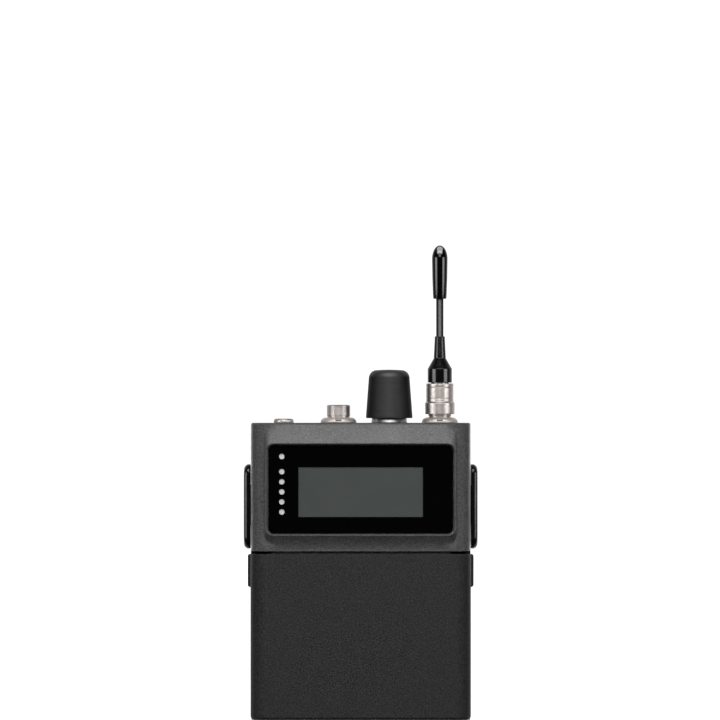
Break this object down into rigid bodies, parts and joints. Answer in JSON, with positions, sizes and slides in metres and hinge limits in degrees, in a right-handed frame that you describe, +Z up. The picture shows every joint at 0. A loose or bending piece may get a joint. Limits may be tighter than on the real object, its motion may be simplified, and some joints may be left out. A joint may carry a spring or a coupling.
{
  "type": "wireless bodypack",
  "caption": "Belt-worn wireless audio pack with display window, push-turn knob, screw-on antenna, jack, microphone connector, hinged battery door with squeeze latches, and belt clip.",
  "frame": {"origin": "centre of the pack's flat bottom face", "axes": "+Z up towards the antenna, -Y out of the display, +X to the right as the display is read"},
  "size_m": [0.068, 0.0281, 0.1383],
  "materials": {
    "housing_grey": "fine textured paint on cast magnesium",
    "door_black": "fine textured moulding",
    "soft_black": "soft-touch, matt",
    "gloss_black": "polished",
    "lens_black": "polished window, dark tint",
    "panel_grey": "display panel",
    "light_pipe": "milky clear",
    "nickel": "turned, satin nickel plating",
    "gold": "gold plating",
    "steel": "satin",
    "board_green": "coated circuit board",
    "battery_grey": "fine matt moulding",
    "seal_rubber": "matt"
  },
  "bodies": {
    "housing": {"chassis": "housing_grey", "rear_plate": "housing_grey", "contact_block": "soft_black", "headphone_jack": "soft_black", "mic_insulator": "soft_black", "encoder_body": "soft_black", "antenna_coax": "soft_black", "window_lens": "lens_black", "display_panel": "panel_grey", "light_guide": "light_pipe", "antenna_insulator": "light_pipe", "rf_shield": "nickel", "jack_collar": "nickel", "mic_ring_nut": "nickel", "antenna_ring_nut": "nickel", "mic_shell": "nickel", "antenna_socket": "nickel", "battery_terminals": "gold", "display_ribbon": "gold", "antenna_pin": "gold", "contact_pin_1": "gold", "contact_pin_2": "gold", "contact_pin_3": "gold", "contact_pin_4": "gold", "charge_contact_1": "gold", "charge_contact_2": "gold", "charge_contact_3": "gold", "mic_contact_1": "gold", "mic_contact_2": "gold", "mic_contact_3": "gold", "plate_screw_1": "steel", "plate_screw_2": "steel", "plate_screw_3": "steel", "plate_screw_4": "steel", "board_screw_1": "steel", "board_screw_2": "steel", "hinge_pin_left": "steel", "hinge_pin_right": "steel", "knob_collar": "steel", "main_board": "board_green", "battery_pack": "battery_grey", "lens_gasket": "seal_rubber", "knob_seal": "seal_rubber"},
    "door": {"battery_door": "door_black", "latch_spring_left": "steel", "latch_spring_right": "steel"},
    "latch_left": {"latch_left": "door_black"},
    "latch_right": {"latch_right": "door_black"},
    "switch": {"encoder_plunger": "gold"},
    "knob": {"knob": "soft_black", "knob_shaft": "steel"},
    "antenna": {"antenna_plug": "nickel", "antenna_boot": "gloss_black", "antenna_whip": "gloss_black", "antenna_tip": "gloss_black"},
    "antenna_nut": {"antenna_nut": "nickel"},
    "belt_clip": {"belt_clip": "gloss_black"}
  },
  "joints": [
    {"name": "door_swing", "type": "hinge", "parent": "housing", "child": "door", "pos_m": [0, 0.0034, 0.0016], "axis": [1, 0, 0], "range_deg": [0, 100]},
    {"name": "latch_left_press", "type": "slide", "parent": "door", "child": "latch_left", "axis": [1, 0, 0], "range_m": [0, 0.0008], "stiffness_N_per_m": 5, "springref_m": -0.004, "deforming": ["latch_spring_left"]},
    {"name": "latch_right_press", "type": "slide", "parent": "door", "child": "latch_right", "axis": [-1, 0, 0], "range_m": [0, 0.0008], "stiffness_N_per_m": 5, "springref_m": -0.004, "deforming": ["latch_spring_right"]},
    {"name": "knob_press", "type": "slide", "parent": "housing", "child": "switch", "axis": [0, 0, -1], "range_m": [0, 0.0005], "stiffness_N_per_m": 60, "springref_m": -0.003},
    {"name": "knob_turn", "type": "hinge", "parent": "switch", "child": "knob", "pos_m": [0.00831, 0, 0.08795], "axis": [0, 0, 1], "continuous": true},
    {"name": "antenna_lift", "type": "slide", "parent": "housing", "child": "antenna", "axis": [0, 0, 1], "range_m": [0, 0.003]},
    {"name": "antenna_nut_turn", "type": "hinge", "parent": "antenna", "child": "antenna_nut", "pos_m": [0.02305, 0, 0.0891], "axis": [0, 0, 1], "range_deg": [0, 1441]},
    {"name": "belt_clip_swing", "type": "hinge", "parent": "housing", "child": "belt_clip", "pos_m": [0, 0.0015, 0.062], "axis": [1, 0, 0], "range_deg": [0, 12], "stiffness_Nm_per_rad": 0.03, "springref_deg": -17.19}
  ],
  "couplings": [
    {"joint": "antenna_nut_turn", "follows": "antenna_lift", "rad_per_m": 8377.6}
  ]
}
